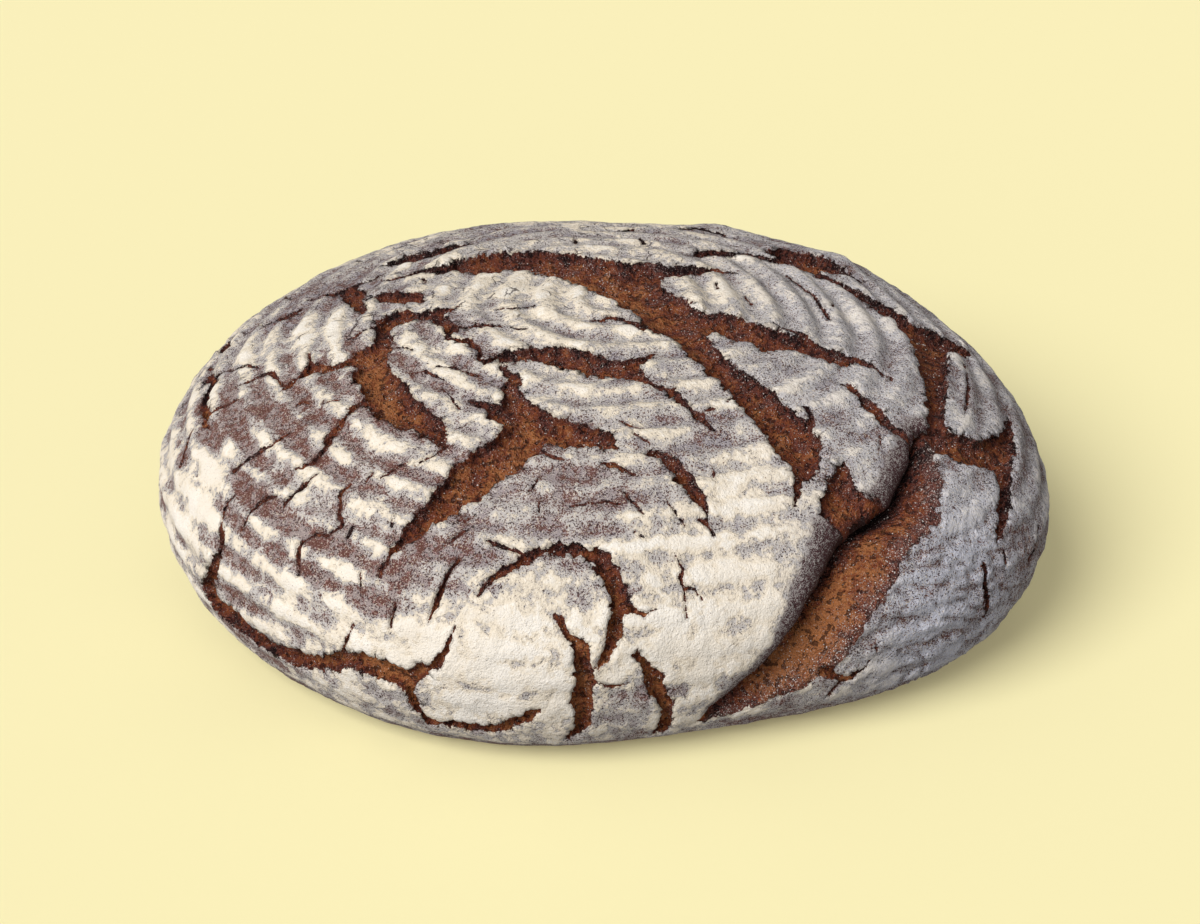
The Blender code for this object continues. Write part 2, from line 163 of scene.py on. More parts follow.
FINE_CRACKS = (
    ((-28, -21, 1.2), (-26, -23, 1.8), (-23, -24, 1)),
    ((-78, -14.5, 1.5), (-74, -12, 3), (-70, -10, 3)),
    ((-91, -15, 1.5), (-90, -21, 3)),
    ((-65, -25, 1), (-60, -26, 1.5), (-57, -29, 1.5)),
    ((-59, -41, 2), (-54, -41, 3), (-51, -45, 3), (-48, -48, 1)),
    ((-50, -40, 2.5), (-46, -41, 5), (-42, -45, 4), (-37, -49, 1.5)),
    ((-49, -52, 1), (-46, -57, 1.2), (-43, -64, 1)),
    ((-45, -72, 1), (-41, -71, 1), (-38, -69.5, 0.8)),
    ((-47, -79, 2), (-52, -82, 2), (-57, -84, 1.5)),
    ((-59, -82, 1.5), (-64, -84, 2.5), (-69, -87, 1)),
    ((-32, -10, 2), (-26, -10, 3), (-20, -9, 1.5)),
    ((-80, 27, 6), (-75, 29, 4), (-72, 32, 2.5)),
    ((-72, 26, 2.5), (-68, 24, 3.5), (-64, 25, 3)),
    ((-57, 20, 2), (-56, 16, 2)),
    ((-112, 55, 1.5), (-109, 45, 2), (-105, 38, 1)),
    ((-133, 12, 3), (-130, 6, 3)),
    ((-125, -2, 1.5), (-119, -6, 2.5), (-113, -8, 2), (-109, -13, 2)),
    ((-128, -25, 4), (-122, -26, 4), (-115, -27, 2)),
    ((-116, -19, 3), (-112, -19, 5), (-107, -19, 5), (-103, -20, 4), (-101, -25, 3), (-99, -30, 1.5)),
    ((-117, -60, 4), (-112, -59, 4), (-107, -58, 4), (-102, -57, 3), (-97, -55, 2)),
    ((-126, -83, 6), (-125, -78, 2.5), (-122, -72, 2), (-117, -70, 2)),
    ((-117, -84, 2), (-112, -80, 4), (-107, -78, 5), (-102, -79, 3)),
    ((-100, -84, 3), (-96, -81, 5), (-92, -79, 5), (-88, -77, 1.5)),
    ((-95, -43, 1), (-92, -42, 2), (-90, -44, 1)),
    ((-86, -46, 1), (-80, -47, 1)),
    ((-140, -40, 2), (-137, -34, 3), (-134, -27, 2)),
    ((-90, -137, 4), (-86, -134, 3), (-82, -131, 1)),
    ((-77, -85, 2), (-81, -88, 4), (-81, -95, 3), (-81, -100, 3.5), (-86, -100.5, 2.5), (-90, -99, 2),
     (-95, -99, 3), (-97, -104, 4), (-98, -109, 2.5)),
    ((-80, -105, 1), (-77, -101, 1.5)),
    ((-72, -86, 2), (-70.5, -83, 1.5)),
    ((-65, -105, 1.5), (-64, -101, 1.2)),
    ((-44, -121, 2.5), (-48, -125, 4.5), (-51, -130, 4.5), (-54, -135, 3), (-56, -138, 1)),
    ((-69, -136, 2.5), (-67, -132, 2.5), (-66, -129, 1)),
    ((-77, -121, 1.5), (-76, -117, 1)),
    ((-35, -117, 2), (-31, -119.5, 3), (-27, -121.5, 3), (-24, -123, 2)),
    ((8, -141, 5), (12, -143.5, 4), (16, -145, 3), (20, -143, 1)),
    ((1, -166, 2.5), (6, -167.5, 3), (11, -166, 1.5)),
    ((26, -127, 1.2), (29, -130, 2), (28, -133, 2.5), (29.5, -137, 2.5), (30, -141, 1.5), (31, -145, 1.5)),
    ((29, -136, 2), (33, -136, 2), (36, -139, 1)),
    ((34, -113, 2.5), (37, -115, 3), (39, -118, 2)),
    ((23, -108, 1), (26, -112, 1.8), (29, -116, 1.5)),
    ((1, -94, 2), (5, -95, 5), (9, -97, 4.5), (13, -99.5, 1.5)),
    ((-9, -109, 1.5), (-3, -108.5, 2), (3, -108.5, 2.5), (7, -109.5, 1.5)),
    ((8, -105, 1.5), (11, -109, 2.5), (15, -113, 1.2)),
    ((12, -119, 1.5), (15, -120.5, 1.5)),
    ((-20, -86, 2), (-16, -88.5, 2.5), (-11, -91.5, 1.5)),
    ((-22, -102, 1.5), (-19, -97, 1.2)),
    ((-19, -106, 2), (-19, -110, 2)),
    ((-49, -116, 1.2), (-44, -113, 2), (-39, -111, 1.2)),
    ((-46, -109, 1.5), (-43, -108, 1)),
    ((-42, -109, 1.5), (-39, -107, 1.2)),
    ((6, -76, 1.2), (10, -78, 2), (14, -80, 1)),
    ((12, -82, 1.5), (17, -86, 2)),
    ((36, -68, 2), (38, -66, 2.5)),
    ((38, -93, 1.5), (39, -98, 1)),
    ((42, -62, 1.2), (42, -60, 1)),
    ((52, -13, 1), (57, -15.5, 3), (62, -18, 5)),
    ((91.5, -51.5, 1.5), (95, -55, 4)),
    ((84.5, -60, 1.8), (85, -67, 1.2)),
    ((63, -56, 2.5), (65, -60, 3), (66, -64, 4)),
    ((63, 26, 2), (67, 18, 2.5), (70.5, 11, 2.5), (71, 4, 3), (72, -4, 2)),
    ((75, 5, 2), (76, 9, 3)),
    ((46, 3, 2), (47, -3, 2)),
    ((38, 10, 2), (38, 6, 2)),
    ((15, 55, 3), (17, 46, 3)),
    ((-9, 52, 2), (-8, 44, 2)),
    ((131, -80, 2), (134, -83, 3)),
    ((146, -60, 3), (148, -66, 5), (147, -72, 4)),
    ((119.5, -1, 1.2), (118, -10, 2.2), (116, -19, 2.2), (113.5, -28, 2.2), (111, -36, 1)),
    ((100, -152, 4), (101, -156, 5)),
    ((103, -133, 2), (105, -134, 1.5)),
)
GREAT_SPLIT = (
    (98, -55, 9), (98, -62, 10), (98, -75, 15), (97.5, -85, 16), (94, -93, 17), (90, -100, 19),
    (88, -110, 22), (86, -120, 22.5), (84, -130, 23), (82.5, -140, 24), (78.5, -150, 22),
    (74, -157, 19), (67.5, -165, 15), (61, -172, 12), (53, -178, 7), (48, -183, 3))
# quiet cracks of the far side and the underside of the shoulder
BACK_CRACKS = (
    ((-60, 95, 2), (-48, 100, 6), (-34, 104, 9), (-20, 110, 8), (-8, 118, 5), (0, 130, 2)),
    ((40, 100, 2), (52, 104, 7), (66, 102, 10), (80, 96, 8), (92, 92, 3)),
    ((-110, 90, 3), (-100, 104, 7), (-88, 118, 8), (-74, 128, 6), (-60, 134, 2)),
    ((10, 140, 2), (20, 150, 6), (34, 156, 8), (48, 154, 6), (60, 146, 2)),
    ((110, 60, 3), (120, 72, 7), (124, 86, 8), (120, 100, 4)),
    ((-20, 128, 1.5), (-26, 142, 4), (-22, 158, 5), (-26, 172, 2)),
)
# broad patches of flour: x, y, reach, added thickness
FLOUR_PATCHES = (
    (-38, -161, 24, 0.30), (-60, -141, 12, 0.30), (46, -142, 22, 0.27), (-136, -60, 20, 0.42),
    (20, -150, 16, 0.20), (-20, -140, 16, 0.15), (70, 5, 24, 0.12), (35, 0, 16, 0.10),
    (-30, 5, 26, 0.17), (45, -100, 20, 0.15), (-104, 0, 18, 0.05), (-100, -125, 16, 0.10),
    (-124, -41, 9, -0.42), (-111, -31, 8, -0.16), (-111, -72, 8, -0.42), (-91, -107, 8, -0.36),
    (-40, -118, 13, -0.22), (-8, -100, 15, -0.24), (-62, -122, 12, -0.20), (-20, 60, 26, -0.10),
    (122, -110, 30, -0.08), (128, -20, 16, -0.10), (10, -66, 12, -0.05), (-98, 40, 22, -0.10),
    (150, -70, 24, -0.20), (-6, -140, 10, 0.05), (-48, -36, 8, 0.12), (-84, -38, 10, 0.12),
    (38, -78, 15, -0.13), (-38, -124, 10, -0.10), (-94, 30, 18, -0.12), (-100, -58, 24, -0.10),
    (-108, -112, 20, 0.14), (100, -88, 10, -0.10), (20, -60, 14, -0.06), (-150, -42, 20, 0.16),
    (-104, -4, 16, 0.10), (-70, -95, 16, 0.08), (-10, 70, 40, 0.06), (-94, 30, 20, -0.16),
    (38, -78, 14, -0.12), (0, -98, 12, -0.08), (140, -20, 14, -0.10),
)


# ---- numbers over the skin map -----------------------------------------------------------------
def smooth(value):
    """Smooth step from 0 to 1 over the range 0 to 1."""
    value = np.clip(value, 0.0, 1.0)
    return value * value * (3.0 - 2.0 * value)


def lattice_noise(x, y, seed):
    """Gradient noise in about -1..1: random slopes at whole numbers, blended with a fifth-power step."""
    angle = np.random.default_rng(seed).uniform(0.0, 2 * math.pi, (256, 256))
    left, low = np.floor(x).astype(int), np.floor(y).astype(int)
    fx, fy = x - left, y - low
    u = fx ** 3 * (fx * (fx * 6 - 15) + 10)
    v = fy ** 3 * (fy * (fy * 6 - 15) + 10)

    def corner(i, j):
        turn = angle[(left + i) & 255, (low + j) & 255]
        return np.cos(turn) * (fx - i) + np.sin(turn) * (fy - j)

    near = corner(0, 0) * (1 - u) + corner(1, 0) * u
    far = corner(0, 1) * (1 - u) + corner(1, 1) * u
    return 1.6 * (near * (1 - v) + far * v)


def layered_noise(x, y, size, seed, layers=3):
    """Sum of gradient noises, each half the size and half the strength of the one before."""
    total = np.zeros_like(x)
    for layer in range(layers):
        finer = 2.0 ** layer
        at_x, at_y = x * (finer / size) + 17.3 * layer, y * (finer / size) - 9.1 * layer
        total += lattice_noise(at_x, at_y, seed + layer) / finer
    return total / 1.6


def block_noise(x, y, size, seed):
    """One random value, -1..1, for each square block."""
    table = np.random.default_rng(seed).uniform(-1.0, 1.0, (256, 256))
    return table[np.floor(x / size).astype(int) & 255, np.floor(y / size).astype(int) & 255]


def profile(turn):
    """Share of the radius and height along the side: turn 0 crown, 1 widest outline, 2 base edge."""
    upper = np.clip(turn, 0.0, 1.0) * math.pi / 2
    lower = np.clip(turn - 1.0, 0.0, 1.0) * math.pi / 2
    above = turn <= 1.0
    share = np.where(above, np.sin(upper) ** SHOULDER_POWER, BASE_SHARE + (1 - BASE_SHARE) * np.cos(lower))
    rise = EQUATOR_HEIGHT + (LOAF_HEIGHT - EQUATOR_HEIGHT) * np.cos(upper)
    height = np.where(above, rise, EQUATOR_HEIGHT * (1.0 - np.sin(lower)))
    return share, height


TURNS = np.linspace(0.0, 2.0, 2001)
SHARES, HEIGHTS = profile(TURNS)
RUN = np.concatenate(([0.0], np.cumsum(np.hypot(np.diff(SHARES * NOMINAL_RADIUS), np.diff(HEIGHTS)))))
SKIN_RADIUS = float(RUN[-1]) * 1000


def outline(angle):
    """Widest radius of the loaf in a direction."""
    radius = np.ones_like(angle)
    for lobes, cosine, sine in OUTLINE:
        radius = radius + cosine * np.cos(lobes * angle) + sine * np.sin(lobes * angle)
    return MEAN_RADIUS * radius


def form(x, y):
    """Smooth loaf surface in metres over the skin map in millimetres."""
    angle = np.arctan2(y, x)
    share, height = profile(np.interp(np.hypot(x, y) / 1000, RUN, TURNS))
    reach = share * outline(angle)
    return np.stack((reach * np.cos(angle) - CENTRE[0], reach * np.sin(angle) - CENTRE[1], height), axis=-1)


def form_normal(x, y):
    """Outward direction of the smooth surface by central differences."""
    step = NORMAL_STEP
    along_x = form(x + step, y) - form(x - step, y)
    along_y = form(x, y + step) - form(x, y - step)
    normal = np.cross(along_x, along_y)
    return normal / np.linalg.norm(normal, axis=-1, keepdims=True)


class SkinMap:
    """Square map over the skin, on which every field of the crust is worked out."""

    def __init__(self):
        self.half = SKIN_RADIUS + 6
        self.count = int(2 * self.half / CELL) + 1
        line = np.linspace(-self.half, self.half, self.count)
        self.step = line[1] - line[0]
        self.x, self.y = np.meshgrid(line, line)
        self.radius = np.hypot(self.x, self.y)

    def window(self, ax, ay, bx, by, margin):
        """Rows and columns of the map near a segment."""
        low_x = int(max(0, (min(ax, bx) - margin + self.half) / self.step))
        high_x = int(min(self.count, (max(ax, bx) + margin + self.half) / self.step + 2))
        low_y = int(max(0, (min(ay, by) - margin + self.half) / self.step))
        high_y = int(min(self.count, (max(ay, by) + margin + self.half) / self.step + 2))
        return slice(low_y, high_y), slice(low_x, high_x)

    def nearest(self, paths, x, y):
        """Distance outside the nearest path's edge, the width there, and the side across it."""
        gap = np.full(self.x.shape, GAP_LIMIT)
        width = np.zeros(self.x.shape)
        side = np.zeros(self.x.shape)
        for path in paths:
            for (ax, ay, aw), (bx, by, bw) in zip(path[:-1], path[1:]):
                area = self.window(ax, ay, bx, by, max(aw, bw) / 2 + TEAR_REACH)
                px, py = x[area], y[area]
                dx, dy = bx - ax, by - ay
                length = dx * dx + dy * dy
                along = np.clip(((px - ax) * dx + (py - ay) * dy) / length, 0.0, 1.0)
                off_x, off_y = px - ax - along * dx, py - ay - along * dy
                here = aw + (bw - aw) * along
                distance = np.hypot(off_x, off_y) - here / 2
                nearer = distance < gap[area]
                gap[area] = np.where(nearer, distance, gap[area])
                width[area] = np.where(nearer, here, width[area])
                offset = (dx * off_y - dy * off_x) / math.sqrt(length)
                side[area] = np.where(nearer, offset, side[area])
        return gap, width, side

    def sample(self, field, x, y):
        """Blend of the four map cells around each point."""
        across = np.clip((x + self.half) / self.step, 0, self.count - 1.001)
        up = np.clip((y + self.half) / self.step, 0, self.count - 1.001)
        i, j = across.astype(int), up.astype(int)
        u, v = across - i, up - j
        low = field[j, i] * (1 - u) + field[j, i + 1] * u
        high = field[j + 1, i] * (1 - u) + field[j + 1, i + 1] * u
        return low * (1 - v) + high * v

    def slope(self, field, x, y):
        """Slope of a field along x and along y by central differences."""
        step = SLOPE_STEP
        along_x = (self.sample(field, x + step, y) - self.sample(field, x - step, y)) / (2 * step)
        along_y = (self.sample(field, x, y + step) - self.sample(field, x, y - step)) / (2 * step)
        return along_x, along_y


def ring_phase(x, y, radius):
    """Turns of the basket coil: a spiral whose crests lie where the phase is a multiple of 2 pi."""
    angle = np.arctan2(y, x)
    wander = 2.5 + 2.0 * np.cos(angle) - 0.95 * np.sin(angle)
    wander = wander - 0.45 * np.cos(2 * angle) - 0.7 * np.sin(2 * angle)
    return 2 * math.pi * radius / RING_PITCH * (1 + RING_STRETCH * radius / 1000) - wander - angle


def skin_height(radius):
    """Height above the table, millimetres, of the smooth form at a distance over the crust."""
    return 1000 * profile(np.interp(radius / 1000, RUN, TURNS))[1]


def dome(x, y, at_x, at_y, reach):
    """Bell of height 1 over a place, down to 1 / e at its reach."""
    return np.exp(-((x - at_x) ** 2 + (y - at_y) ** 2) / reach ** 2)


def crust_zones(x, y):
    """Shares of the crust's regions: folded right flank, white front, left side and upper right."""
    flank = dome(x, y, 126, -108, 40)
    return SimpleNamespace(
        flank=flank, front=smooth((-y - 118) / 30) * (1 - flank), upper_right=dome(x, y, 68, 0, 48),
        left=smooth((-x - 15) / 60) * smooth((y + 150) / 30) * (1 - 0.85 * smooth((y + 25) / 30)))


def tear_distance(skin):
    """Distance outside the nearest tear or crack, its width there, and the fray of its edge. Places are
    first moved by noise and by small square jags, so that the edges run ragged."""
    x, y = skin.x, skin.y
    jag = block_noise(
        x + 2 * layered_noise(x, y, 7, SEED + 1), y + 2 * layered_noise(x, y, 7, SEED + 4), 3.1, SEED + 7)
    jog = block_noise(
        y + 2 * layered_noise(x, y, 7, SEED + 8), x + 2 * layered_noise(x, y, 7, SEED + 9), 2.3, SEED + 10)
    fray_x, fray_y = layered_noise(x, y, 3.4, SEED + 24), layered_noise(x, y, 3.4, SEED + 34)
    warp_x = x + 1.3 * layered_noise(x, y, 8.0, SEED + 20) + 0.7 * jag + 0.9 * fray_x
    warp_y = y + 1.3 * layered_noise(x, y, 8.0, SEED + 30) + 0.7 * jog + 0.9 * fray_y
    gap, width, _ = skin.nearest((*TEARS.values(), *BACK_CRACKS), warp_x, warp_y)

    thin_x = x + 0.8 * layered_noise(x, y, 4.0, SEED + 40)
    thin_y = y + 0.8 * layered_noise(x, y, 4.0, SEED + 50)
    fine_gap, fine_width, _ = skin.nearest(FINE_CRACKS, thin_x, thin_y)
    fine_gap = fine_gap + 0.16 * fine_width + 0.25 * layered_noise(x, y, 3.0, SEED + 54, 2)
    finer = fine_gap < gap
    return np.where(finer, fine_gap, gap), np.where(finer, fine_width, width), 1.3 * fray_x + 0.9 * jag


def floor_lumps(x, y):
    """Lumps of the torn crumb, with raised knots here and there."""
    lumps = 1.7 * layered_noise(x, y, 3.6, SEED + 60) + 0.8 * layered_noise(x, y, 9.0, SEED + 64, 2)
    return lumps + smooth((layered_noise(x, y, 5.0, SEED + 67, 2) - 0.15) / 0.3)


def tear_depth(gap, width, lumps):
    """Depth of a tear, by its width: a steep wall at the edge, then a hollow with a lumpy floor."""
    deep = np.minimum(TEAR_DEPTH_LIMIT, 0.8 + 0.29 * width)
    wall_drop = smooth(-gap / WALL)
    hollow = smooth(-gap / np.maximum(0.38 * width, 0.5))
    floor = deep * (0.62 * wall_drop + 0.38 * hollow) + lumps * smooth(-gap / 1.6)
    return np.where(gap < 0, floor, 0.0)


def great_split(skin, fray, lumps):
    """The great split below its high slab: a trough that falls from the low side to the slab's foot, and
    the slab's edge rounded over and leaning out above it."""
    x, y = skin.x, skin.y
    bent_x = x + 0.9 * layered_noise(x, y, 9.0, SEED + 70)
    bent_y = y + 0.9 * layered_noise(x, y, 9.0, SEED + 74)
    gap, width, side = skin.nearest((GREAT_SPLIT,), bent_x, bent_y)
    gap = gap + (fray + 1.2 * layered_noise(x, y, 12, SEED + 76, 2)) * (side > 0)
    inside = gap <= 0
    high_side = (gap > 0) & (side < 0)
    across = np.clip(0.5 + side / np.maximum(width, 1.0), 0.0, 1.0)
    foot = SPLIT_DEPTH * smooth(width / 15)
    trough = foot * (1.0 - smooth(across) ** 0.8) + lumps * 0.8 * smooth(-gap / 2.0)
    edge = np.clip(1.0 - gap / np.interp(y, *zip(*SLAB_EDGE)), 0.0, 1.0)
    rounded = foot * 0.8 * (1.0 - np.sqrt(np.clip(1.0 - edge ** 2.4, 0.0, 1.0))) * high_side
    lean = 3.4 * smooth(edge / 0.8) * high_side * smooth(width / 14)
    facing = np.radians(np.interp(y, *zip(*SLAB_FACING)))
    return SimpleNamespace(
        gap=gap, width=width, side=side, across=across, inside=inside,
        depth=np.where(inside, trough, rounded),
        wall=np.clip((edge - 0.10) / 0.9, 0, 1) * high_side * smooth(width / 12),
        # crevice: share of the split's floor by the slab's foot that is painted black as shadow
        crevice=inside * np.exp(-(across * width / 6.5) ** 2.0) * smooth(width / 14),
        lean_x=lean * np.cos(facing), lean_y=lean * np.sin(facing))


def torn_lip(x, y, gap, width, split):
    """How far a tear's lip hangs over its floor, in a narrow band along the edge."""
    lip = (0.9 + 0.7 * layered_noise(x, y, 5.0, SEED + 77, 2)) * np.exp(-gap ** 2) * smooth(width / 6)
    return np.where(gap < -0.45, 0.0, lip) * (split.gap > 1.0)


def coil_ridge(skin):
    """Ridge left by the basket coil, -1 in the valleys to 1 on the crests."""
    x, y = skin.x, skin.y
    wave = np.cos(ring_phase(x, y, skin.radius) + 0.9 * layered_noise(x, y, 24, SEED + 80))
    return np.sign(wave) * np.abs(wave) ** 0.85


def coil_strength(skin, zone):
    """Height of the coil's ridges: bold at the upper right, faint on the front, the flank and the foot."""
    x, y = skin.x, skin.y
    strength = 0.75 + 0.35 * layered_noise(x, y, 30, SEED + 84, 2)
    strength += 0.80 * dome(x, y, 66, 2, 42)
    strength += 0.25 * dome(x, y, -15, -10, 40)
    strength *= (1.0 - 0.75 * zone.flank) * (1.0 - 0.68 * zone.front)
    strength *= 1.0 - 0.5 * smooth((skin.radius - 165) / 25)
    return np.clip(strength, 0.15, 1.8)


def plate_relief(skin, gap, width, split, zone, ridge, crease):
    """Height of the plates over the smooth form: ridges, lifted edges, flakes and the flank's folds."""
    x, y = skin.x, skin.y
    kept = smooth((gap + 0.2) / 1.2) * (1 - split.wall) * ~split.inside
    lift = 0.55 * np.exp(-np.maximum(gap, 0) / 2.2) * smooth(width / 5)
    lift = lift * (0.6 + 0.8 * layered_noise(x, y, 9, SEED + 88, 2))
    folds = 0.5 * zone.flank * layered_noise(0.35 * (x + y), y - x, 7.0, SEED + 92)
    folds -= 0.42 * smooth(1 - crease / 0.14) * np.clip(zone.flank * 1.6, 0, 1)
    flakes = 0.34 * layered_noise(x, y, 5.0, SEED + 96) + 0.8 * layered_noise(x, y, 28, SEED + 99, 2)
    strength = coil_strength(skin, zone)
    return 0.75 * strength * ridge * kept + lift * kept + flakes * kept + 2.5 * folds * kept


def flour_cover(skin, tear, split, zone, ridge, crease):
    """Flour on the plates: more on the ridges, streaked along the coil, blotched and patched, thinned on the
    slab wall, in the flank's creases and over the upper right as painted shade, and thinned towards the foot."""
    x, y = skin.x, skin.y
    streak = layered_noise(skin.radius, np.arctan2(y, x) * 26 + 300, 5.5, SEED + 104)
    blotch = layered_noise(x, y, 11, SEED + 107, 4)
    calm = np.clip(1 - 0.55 * zone.upper_right - 0.75 * zone.flank - 0.45 * zone.front, 0.15, 1)
    flour = 0.49 + (0.11 + 0.10 * zone.left) * ridge * calm + 0.20 * layered_noise(x, y, 26, SEED + 110)
    streaks = (0.26 + 0.12 * zone.left) * streak * calm
    blotches = (0.22 + 0.10 * zone.left + 0.20 * zone.front) * blotch * (0.4 + 0.6 * calm)
    flour += streaks + blotches - 0.11 * zone.left
    # painted shade: less flour over the upper right and towards the right side
    regions = 0.055 * zone.front - 0.05 * zone.upper_right + 0.11 * zone.flank
    flour += regions - 0.07 * smooth((y - 20) / 30) - 0.05 * smooth((x - 70) / 30)
    for at_x, at_y, reach, added in FLOUR_PATCHES:
        flour += added * dome(x, y, at_x, at_y, reach)
    flour += 0.16 * np.exp(-np.maximum(tear, 0) / 1.6) * layered_noise(x, y, 8, SEED + 116, 2)
    # painted shade: less flour on the slab wall and in the flank's creases
    flour -= 0.30 * split.wall + 0.35 * smooth(1 - crease / 0.10) * np.clip(zone.flank * 1.6, 0, 1)
    flour -= 0.5 * smooth((skin.radius - 188) / 20)
    return flour


def floor_bake_and_shade(x, y, tear, width, split, far_side):
    """Baked tone of the torn floors, with painted shade: pale orange where wide and open, dark at the rims
    where shade is painted over a darker burn, and black in the crevice at the slab's foot as a painted
    shadow.
    """
    inner = np.maximum(-tear, 0)
    bake_and_shade = 0.27 + 0.014 * width + 0.42 * layered_noise(x, y, 7, SEED + 120)
    bake_and_shade -= 0.14 * smooth((far_side + 0.25) / 0.7) + 0.05 * (far_side < -0.4)
    bake_and_shade += 0.30 * split.inside * smooth((0.85 - split.across) / 0.4)
    bake_and_shade -= 0.10 * smooth((y - 5) / 20)
    front = 0.28 * smooth((-y - 120) / 30)
    left = 0.26 * smooth((-x - 50) / 20) * smooth((30 - np.abs(y + 40)) / 20)
    middle = 0.10 * smooth((20 - np.abs(y + 82)) / 14) * (x < 10)
    bake_and_shade += front + left + middle
    # painted shade: the floors darken along the rims of the tears and the low rim of the split, over some
    # real burn there
    rim_shade_and_burn = (0.8 + 0.8 * layered_noise(x, y, 9, SEED + 124, 2)) * (0.40 + 0.60 * smooth(width / 9))
    bake_and_shade -= 0.55 * np.exp(-inner / (0.8 + 0.06 * width)) * rim_shade_and_burn * (split.gap > 0)
    bake_and_shade -= 0.55 * np.exp(-inner / 3.2) * split.inside * (split.across > 0.5)
    # painted shadow: near black in the crevice at the slab's foot
    bake_and_shade -= 1.5 * split.crevice
    return bake_and_shade


def floor_specks(x, y, split, far_side):
    """Share of loose flour on the floors, most below the far wall and on the low side of the split."""
    speck = 0.35 + 0.26 * smooth((far_side + 0.2) / 0.7) + 0.5 * layered_noise(x, y, 8, SEED + 130)
    return speck + 0.75 * split.inside * smooth((split.across - 0.45) / 0.4)


def crust_fields(skin):
    """Every field that the mesh and the materials read: distance from the tears, relief and overhang in
    millimetres, and shares of flour (thinned where shade is painted), baked tone with painted shade, slab
    wall (where its shade is painted), specks, mottling, dryness and coolness."""
    x, y = skin.x, skin.y
    zone = crust_zones(x, y)
    lumps = floor_lumps(x, y)
    gap, width, fray = tear_distance(skin)
    split = great_split(skin, fray, lumps)
    depth = np.maximum(tear_depth(gap, width, lumps), split.depth)
    tear = np.minimum(gap, np.where(split.side < 0, split.gap, split.gap + 0.8))
    shown_width = np.where(split.gap < gap, split.width, width)
    slope_y, slope_x = np.gradient(gap, skin.step)
    lip = torn_lip(x, y, gap, width, split)

    ridge = coil_ridge(skin)
    crease = np.abs(layered_noise(0.30 * (x + y), y - x + 0.2 * x, 11.0, SEED + 94))
    fade = smooth((skin_height(skin.radius) - 0.5) / RIM_FADE)
    swell = 2.4 * dome(x, y, 84, 60, 11) + 1.6 * dome(x, y, 46, 84, 9)
    plates = plate_relief(skin, gap, width, split, zone, ridge, crease)

    stained = dome(x, y, -8, -102, 30)
    mottle = np.clip(0.30 + 0.75 * zone.left + 0.45 * zone.front + 0.5 * stained, 0, 1)
    half = np.maximum(shown_width / 2, 0.6)
    far_side = 1 - np.clip(np.maximum(-tear, 0) / half, 0, 1)
    far_side = far_side * np.clip(1.1 * slope_y + 0.9 * slope_x, -1, 1) * ~split.inside
    return {
        "tear": np.clip(tear, -6, 8),
        "relief": (plates - depth + swell) * fade,
        "shift_x": (split.lean_x - lip * slope_x) * fade,
        "shift_y": (split.lean_y - lip * slope_y) * fade,
        "flour": flour_cover(skin, tear, split, zone, ridge, crease),
        "bake_and_shade": floor_bake_and_shade(x, y, tear, shown_width, split, far_side),
        "wall": split.wall,
        "speck": floor_specks(x, y, split, far_side),
        "mottle": mottle * (1 - 0.8 * zone.flank) * (1 - 0.5 * zone.upper_right),
        "dry": smooth((y + 30) / 20) * smooth((40 - x) / 20),
        "cool": np.clip(zone.flank * 1.3 + 0.45 * smooth((x - 20) / 60) * smooth((y + 100) / 60), 0, 1),
    }


# ---- loaf mesh ---------------------------------------------------------------------------------
def skin_points(skin, fields):
    """Points of a three-level hexagonal lattice, finer by the root of three at each level near tears,
    then moved along the slope of the tear distance onto the rim line and the foot line of each wall."""
    reach = int(SKIN_RADIUS / FINE_STEP * 1.25)
    i, j = np.meshgrid(np.arange(-reach, reach + 1), np.arange(-reach, reach + 1))
    i, j = i.ravel(), j.ravel()
    x = FINE_STEP * (i + 0.5 * j)
    y = FINE_STEP * (math.sqrt(3) / 2) * j
    inside = np.hypot(x, y) < SKIN_RADIUS - 0.9
    i, j, x, y = i[inside], j[inside], x[inside], y[inside]
    tear = skin.sample(fields["tear"], x, y)
    # the far side has a coarser mesh than the front and the crown
    seen = y < 95 - 0.25 * np.abs(x)
    coarse = ((i % 3) == 0) & ((j % 3) == 0)
    middle = ((i - j) % 3 == 0) & ((tear < 1.5) | (y < 62 - 0.2 * np.abs(x)))
    fine = (tear < np.where(seen, 0.9, 0.3)) & (tear > np.where(seen, -1.7, -1.0))
    keep = coarse | middle | fine
    x, y = x[keep], y[keep]
    for line in (0.0, -WALL):
        for _ in range(2):
            here = skin.sample(fields["tear"], x, y) - line
            slope_x, slope_y = skin.slope(fields["tear"], x, y)
            steep = slope_x ** 2 + slope_y ** 2
            near = (np.abs(here) < 0.42 * FINE_STEP) & (steep > 0.3)
            shift = np.where(near, here / np.maximum(steep, 0.3), 0.0)
            x, y = x - shift * slope_x, y - shift * slope_y
    inside = np.hypot(x, y) < SKIN_RADIUS - 0.7
    return x[inside], y[inside]


def surface_at(skin, fields, x, y):
    """Points of the crust under places on the skin map, and the outward direction there."""
    normal = form_normal(x, y)
    raised = (skin.sample(fields["relief"], x, y) / 1000)[:, None]
    shifted = form(x + skin.sample(fields["shift_x"], x, y), y + skin.sample(fields["shift_y"], x, y))
    return shifted + normal * raised, normal


